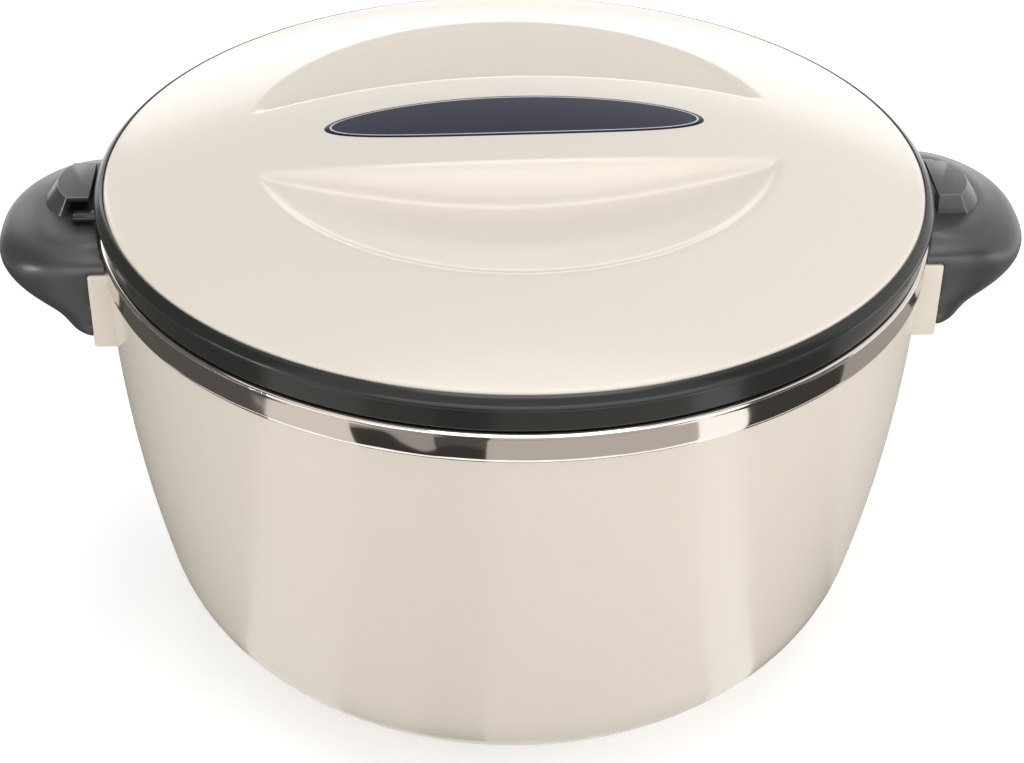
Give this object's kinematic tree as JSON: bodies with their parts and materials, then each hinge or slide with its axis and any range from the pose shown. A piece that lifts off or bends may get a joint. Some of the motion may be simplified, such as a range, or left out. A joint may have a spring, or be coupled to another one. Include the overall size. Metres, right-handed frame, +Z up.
{
  "type": "insulated casserole",
  "caption": "Round insulated casserole with steel vessel, two hooded side handles and a twist-lock domed lid with a bridge grip.",
  "frame": {"origin": "centre of the rest face under the base plate", "axes": "+Z up, +X towards the right handle, -Y towards the front of the picture's view"},
  "size_m": [0.3652, 0.294, 0.2042],
  "materials": {
    "ivory_plastic": "glossy moulded",
    "dark_plastic": "satin moulded",
    "dark_gloss_plastic": "semi-gloss moulded",
    "navy_plastic": "satin print",
    "polished_steel": "polished",
    "stainless_steel": "brushed",
    "screw_steel": "zinc plated",
    "foam": "rigid polyurethane foam",
    "silicone": "matt"
  },
  "bodies": {
    "pot": {"outer_shell": "ivory_plastic", "rim_band": "polished_steel", "inner_vessel": "stainless_steel", "body_foam": "foam", "base_plate": "ivory_plastic", "base_screws": "screw_steel", "foam_fill_plug": "dark_plastic", "left_handle": "dark_plastic", "right_handle": "dark_plastic", "left_latch_cap": "dark_plastic", "right_latch_cap": "dark_plastic", "left_handle_screws": "screw_steel", "right_handle_screws": "screw_steel", "left_cap_screws": "screw_steel", "right_cap_screws": "screw_steel"},
    "seal": {"lid_seal": "silicone"},
    "lid": {"lid_top": "ivory_plastic", "lid_ring": "dark_gloss_plastic", "badge": "navy_plastic", "lid_foam": "foam", "lid_liner": "stainless_steel", "lid_fill_plug": "dark_plastic"}
  },
  "joints": [
    {"name": "lid_lift", "type": "slide", "parent": "pot", "child": "seal", "axis": [0, 0, 1], "range_m": [0, 0.15]},
    {"name": "lid_twist", "type": "hinge", "parent": "seal", "child": "lid", "pos_m": [0, 0, 0.178], "axis": [0, 0, 1], "range_deg": [-5, 12]}
  ]
}
